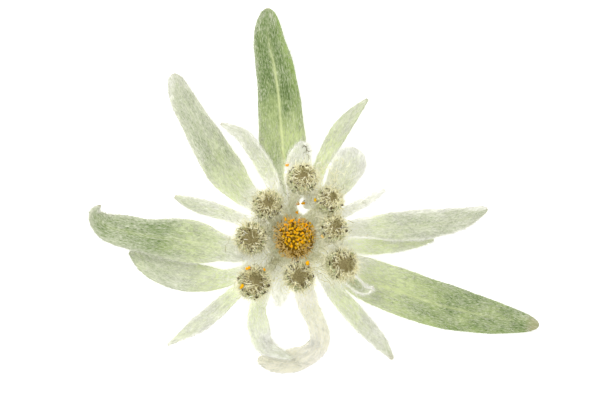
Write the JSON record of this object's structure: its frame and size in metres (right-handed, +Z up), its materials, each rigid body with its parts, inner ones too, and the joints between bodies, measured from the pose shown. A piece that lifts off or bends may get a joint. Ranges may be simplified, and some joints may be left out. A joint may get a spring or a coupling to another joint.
{
  "type": "edelweiss flower",
  "caption": "Picked edelweiss lying face up: a star of felted grey-green bracts round a cluster of small woolly flower heads, the middle one open and orange.",
  "frame": {"origin": "on the table, under the middle of the star's bounding box", "axes": "+Z up, away from the table, out of the face of the flower; +X along the star's longest way across; the top bract points to +Y"},
  "size_m": [0.0764, 0.0622, 0.0156],
  "materials": {
    "bract_green": "matt, mottled grey-green under short pale hairs",
    "bract_pale": "matt, whitish green felt",
    "wool": "matt white wool",
    "straw": "matt straw yellow with dark brown tips",
    "orange": "matt bright orange"
  },
  "bodies": {
    "root": {"crown": "wool", "bract_top_long": "bract_green", "bract_upper_left_long": "bract_green", "bract_upper_left_slim": "bract_pale", "bract_left_slim": "bract_pale", "bract_left_long": "bract_green", "bract_left_lower": "bract_green", "bract_lower_left_slim": "bract_pale", "bract_bottom_left_slim": "bract_pale", "bract_bottom_hooked": "bract_pale", "bract_lower_right_slim": "bract_pale", "bract_right_long": "bract_green", "bract_right_under": "bract_pale", "bract_right_upper_long": "bract_green", "bract_right_small": "bract_pale", "bract_upper_right_broad": "bract_pale", "bract_upper_right_slim": "bract_pale", "bract_top_small": "bract_pale", "bract_bottom_small": "bract_pale", "bract_right_curl": "bract_pale", "head_top_cup": "wool", "head_top_florets": "straw", "head_upper_right_cup": "wool", "head_upper_right_florets": "straw", "head_right_cup": "wool", "head_right_florets": "straw", "head_lower_right_cup": "wool", "head_lower_right_florets": "straw", "head_bottom_cup": "wool", "head_bottom_florets": "straw", "head_lower_left_cup": "wool", "head_lower_left_florets": "straw", "head_left_cup": "wool", "head_left_florets": "straw", "head_upper_left_cup": "wool", "head_upper_left_florets": "straw", "head_centre_cup": "wool", "head_centre_florets": "orange"}
  },
  "joints": []
}
